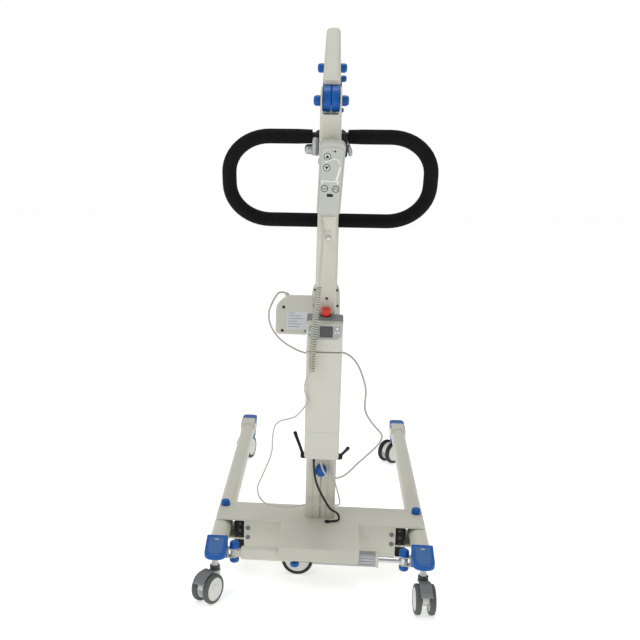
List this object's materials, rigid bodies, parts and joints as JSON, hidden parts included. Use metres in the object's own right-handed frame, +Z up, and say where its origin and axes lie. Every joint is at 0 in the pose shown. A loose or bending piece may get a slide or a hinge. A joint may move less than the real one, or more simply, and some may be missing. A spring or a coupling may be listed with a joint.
{
  "type": "patient lift hoist",
  "caption": "Wheeled patient lift hoist: spreading legs on casters, leaning mast with loop handle and control box, powered boom and swivelling spreader bar.",
  "frame": {"origin": "on the floor, under the middle of the overall outline at rest", "axes": "+Z up, +Y from the push handle towards the leg fronts, +X to the right of the person pushing"},
  "size_m": [0.536, 1.1386, 1.3033],
  "materials": {
    "powder_coat_ivory": "satin ivory powder coat with a fine orange peel",
    "moulded_blue": "semi-gloss moulded blue polymer",
    "grip_foam": "matt black closed-cell foam",
    "bright_metal": "brushed and plated metal",
    "plastic_charcoal": "matt dark grey polymer",
    "plastic_sage": "fine-textured light grey-green enclosure polymer",
    "plastic_cream": "matt cream actuator housing polymer",
    "plastic_red": "glossy red stop button",
    "tyre_rubber": "dark grey non-marking tread"
  },
  "bodies": {
    "chassis": {"base_plate": "powder_coat_ivory", "lower_plate": "powder_coat_ivory", "foot_plate": "powder_coat_ivory", "leg_pivot_left": "moulded_blue", "leg_pivot_right": "moulded_blue", "mast_socket": "powder_coat_ivory"},
    "clamp_left": {"clamp_lever_left": "plastic_charcoal"},
    "clamp_right": {"clamp_lever_right": "plastic_charcoal"},
    "socket_screw": {"socket_knob": "moulded_blue"},
    "mast": {"mast_tube": "powder_coat_ivory", "control_head": "plastic_sage", "handset_hook": "powder_coat_ivory", "handle_clamp_left": "bright_metal", "handle_clamp_right": "plastic_charcoal", "actuator_bracket": "powder_coat_ivory", "boom_pivot": "moulded_blue"},
    "battery": {"battery_pack": "plastic_sage"},
    "estop": {"estop_button": "plastic_red"},
    "handset": {"handset_shell": "plastic_sage"},
    "key_up_body": {"key_up": "plastic_charcoal"},
    "key_down_body": {"key_down": "plastic_charcoal"},
    "key_open_body": {"key_legs_open": "plastic_charcoal"},
    "key_close_body": {"key_legs_close": "plastic_charcoal"},
    "handle": {"handle_tube": "bright_metal", "foam_grip": "grip_foam"},
    "tilt_lever": {"handle_lever": "bright_metal"},
    "lift_actuator": {"actuator_housing": "plastic_cream", "outer_tube": "bright_metal"},
    "lift_rod_body": {"lift_rod": "bright_metal"},
    "boom": {"boom_tube": "powder_coat_ivory", "hub_cover": "moulded_blue", "lift_pin_left": "moulded_blue", "lift_pin_right": "moulded_blue"},
    "latch": {"pull_pin": "moulded_blue"},
    "hanger": {"swivel_hanger": "bright_metal"},
    "spreader": {"spreader_bar": "powder_coat_ivory"},
    "leg_left": {"leg_tube_left": "powder_coat_ivory", "rear_cap_left": "moulded_blue", "front_cap_left": "moulded_blue", "link_pin_left": "moulded_blue"},
    "leg_right": {"leg_tube_right": "powder_coat_ivory", "rear_cap_right": "moulded_blue", "front_cap_right": "moulded_blue", "link_pin_right": "moulded_blue"},
    "leg_link": {"link_bar": "powder_coat_ivory", "leg_actuator_body": "bright_metal"},
    "leg_rod_body": {"leg_rod": "bright_metal"},
    "caster_rear_left_body": {"caster_rear_left": "plastic_cream"},
    "wheels_rear_left_body": {"wheels_rear_left": "tyre_rubber"},
    "brake_rear_left_body": {"brake_pedal_rear_left": "plastic_charcoal"},
    "caster_rear_right_body": {"caster_rear_right": "plastic_cream"},
    "wheels_rear_right_body": {"wheels_rear_right": "tyre_rubber"},
    "brake_rear_right_body": {"brake_pedal_rear_right": "plastic_charcoal"},
    "caster_front_left_body": {"caster_front_left": "plastic_cream"},
    "wheels_front_left_body": {"wheels_front_left": "tyre_rubber"},
    "caster_front_right_body": {"caster_front_right": "plastic_cream"},
    "wheels_front_right_body": {"wheels_front_right": "tyre_rubber"},
    "caster_centre_body": {"caster_centre": "plastic_cream"},
    "wheels_centre_body": {"wheels_centre": "tyre_rubber"}
  },
  "joints": [
    {"name": "leg_left_swing", "type": "hinge", "parent": "chassis", "child": "leg_left", "pos_m": [-0.21997, -0.26068, 0.10248], "axis": [0, 0, 1], "range_deg": [0, 6]},
    {"name": "leg_right_swing", "type": "hinge", "parent": "chassis", "child": "leg_right", "pos_m": [0.24203, -0.26068, 0.10248], "axis": [0, 0, -1], "range_deg": [0, 6]},
    {"name": "leg_link_swing", "type": "hinge", "parent": "leg_left", "child": "leg_link", "pos_m": [-0.18097, -0.44868, 0.08648], "axis": [0, 0, -1], "range_deg": [0, 6]},
    {"name": "leg_rod_slide", "type": "slide", "parent": "leg_link", "child": "leg_rod_body", "axis": [-1, 0, 0], "range_m": [0, 0.039]},
    {"name": "mast_lift_out", "type": "slide", "parent": "chassis", "child": "mast", "axis": [0, -0.2079, 0.9781], "range_m": [0, 0.1]},
    {"name": "clamp_left_turn", "type": "hinge", "parent": "chassis", "child": "clamp_left", "pos_m": [-0.02397, -0.31532, 0.28205], "axis": [1, 0, 0], "range_deg": [-60, 60]},
    {"name": "clamp_right_turn", "type": "hinge", "parent": "chassis", "child": "clamp_right", "pos_m": [0.04603, -0.31532, 0.28205], "axis": [1, 0, 0], "range_deg": [-60, 60]},
    {"name": "socket_knob_turn", "type": "hinge", "parent": "chassis", "child": "socket_screw", "pos_m": [0.01103, -0.34664, 0.26108], "axis": [0, -0.9781, -0.2079], "continuous": true},
    {"name": "battery_pull", "type": "slide", "parent": "mast", "child": "battery", "axis": [0, -0.9781, -0.2079], "range_m": [0, 0.06]},
    {"name": "estop_press", "type": "slide", "parent": "mast", "child": "estop", "axis": [0, 0.2079, -0.9781], "range_m": [0, 0.004]},
    {"name": "handset_lift_off", "type": "slide", "parent": "mast", "child": "handset", "axis": [0, -0.2079, 0.9781], "range_m": [0, 0.05]},
    {"name": "key_up_press", "type": "slide", "parent": "handset", "child": "key_up_body", "axis": [0, 0.9781, 0.2079], "range_m": [0, 0.001]},
    {"name": "key_down_press", "type": "slide", "parent": "handset", "child": "key_down_body", "axis": [0, 0.9781, 0.2079], "range_m": [0, 0.001]},
    {"name": "key_legs_open_press", "type": "slide", "parent": "handset", "child": "key_open_body", "axis": [0, 0.9781, 0.2079], "range_m": [0, 0.001]},
    {"name": "key_legs_close_press", "type": "slide", "parent": "handset", "child": "key_close_body", "axis": [0, 0.9781, 0.2079], "range_m": [0, 0.001]},
    {"name": "handle_tilt", "type": "hinge", "parent": "mast", "child": "handle", "pos_m": [0.01103, -0.47396, 1.02838], "axis": [1, 0, 0], "range_deg": [0, 40]},
    {"name": "handle_lever_turn", "type": "hinge", "parent": "mast", "child": "tilt_lever", "pos_m": [0.04503, -0.46772, 0.99904], "axis": [1, 0, 0], "range_deg": [0, 90]},
    {"name": "boom_lift", "type": "hinge", "parent": "mast", "child": "boom", "pos_m": [0.01103, -0.48955, 1.10174], "axis": [1, 0, 0], "range_deg": [-24, 18]},
    {"name": "actuator_tilt", "type": "hinge", "parent": "mast", "child": "lift_actuator", "pos_m": [0.01103, -0.29872, 0.56468], "axis": [1, 0, 0], "range_deg": [-7, 6]},
    {"name": "lift_rod_slide", "type": "slide", "parent": "lift_actuator", "child": "lift_rod_body", "axis": [0, 0.219, 0.9757], "range_m": [-0.132, 0.1]},
    {"name": "latch_pull", "type": "slide", "parent": "boom", "child": "latch", "axis": [1, 0, 0], "range_m": [0, 0.009]},
    {"name": "spreader_hang", "type": "hinge", "parent": "boom", "child": "hanger", "pos_m": [0.01103, 0.33839, 1.19938], "axis": [-1, 0, 0], "range_deg": [-24, 18]},
    {"name": "spreader_swivel", "type": "hinge", "parent": "hanger", "child": "spreader", "pos_m": [0.01103, 0.33839, 1.11138], "axis": [0, 0, 1], "continuous": true},
    {"name": "caster_rear_left_swivel", "type": "hinge", "parent": "leg_left", "child": "caster_rear_left_body", "pos_m": [-0.21997, -0.50168, 0.08948], "axis": [0, 0, 1], "continuous": true},
    {"name": "wheels_rear_left_roll", "type": "hinge", "parent": "caster_rear_left_body", "child": "wheels_rear_left_body", "pos_m": [-0.23347, -0.52506, 0.03348], "axis": [0.866, -0.5, 0], "continuous": true},
    {"name": "brake_rear_left_press", "type": "hinge", "parent": "caster_rear_left_body", "child": "brake_rear_left_body", "pos_m": [-0.23347, -0.52506, 0.03348], "axis": [0.866, -0.5, 0], "range_deg": [0, 12]},
    {"name": "caster_rear_right_swivel", "type": "hinge", "parent": "leg_right", "child": "caster_rear_right_body", "pos_m": [0.24203, -0.50168, 0.08948], "axis": [0, 0, 1], "continuous": true},
    {"name": "wheels_rear_right_roll", "type": "hinge", "parent": "caster_rear_right_body", "child": "wheels_rear_right_body", "pos_m": [0.24391, -0.52861, 0.03348], "axis": [0.9976, 0.0698, 0], "continuous": true},
    {"name": "brake_rear_right_press", "type": "hinge", "parent": "caster_rear_right_body", "child": "brake_rear_right_body", "pos_m": [0.24391, -0.52861, 0.03348], "axis": [0.9976, 0.0698, 0], "range_deg": [0, 12]},
    {"name": "caster_front_left_swivel", "type": "hinge", "parent": "leg_left", "child": "caster_front_left_body", "pos_m": [-0.21997, 0.53932, 0.08948], "axis": [0, 0, 1], "continuous": true},
    {"name": "wheels_front_left_roll", "type": "hinge", "parent": "caster_front_left_body", "child": "wheels_front_left_body", "pos_m": [-0.22831, 0.51365, 0.03348], "axis": [0.9511, -0.309, 0], "continuous": true},
    {"name": "caster_front_right_swivel", "type": "hinge", "parent": "leg_right", "child": "caster_front_right_body", "pos_m": [0.24203, 0.53932, 0.08948], "axis": [0, 0, 1], "continuous": true},
    {"name": "wheels_front_right_roll", "type": "hinge", "parent": "caster_front_right_body", "child": "wheels_front_right_body", "pos_m": [0.22294, 0.52023, 0.03348], "axis": [0.7071, -0.7071, 0], "continuous": true},
    {"name": "caster_centre_swivel", "type": "hinge", "parent": "chassis", "child": "caster_centre_body", "pos_m": [-0.00897, -0.33768, 0.08948], "axis": [0, 0, 1], "continuous": true},
    {"name": "wheels_centre_roll", "type": "hinge", "parent": "caster_centre_body", "child": "wheels_centre_body", "pos_m": [-0.03897, -0.33768, 0.03698], "axis": [0, -1, 0], "continuous": true}
  ],
  "couplings": [
    {"joint": "leg_right_swing", "follows": "leg_left_swing", "ratio": 1},
    {"joint": "leg_link_swing", "follows": "leg_left_swing", "ratio": 1},
    {"joint": "leg_rod_slide", "follows": "leg_left_swing", "m_per_rad": 0.3719},
    {"joint": "actuator_tilt", "follows": "boom_lift", "ratio": 0.222},
    {"joint": "lift_rod_slide", "follows": "boom_lift", "m_per_rad": 0.3095},
    {"joint": "spreader_hang", "follows": "boom_lift", "ratio": 1}
  ]
}
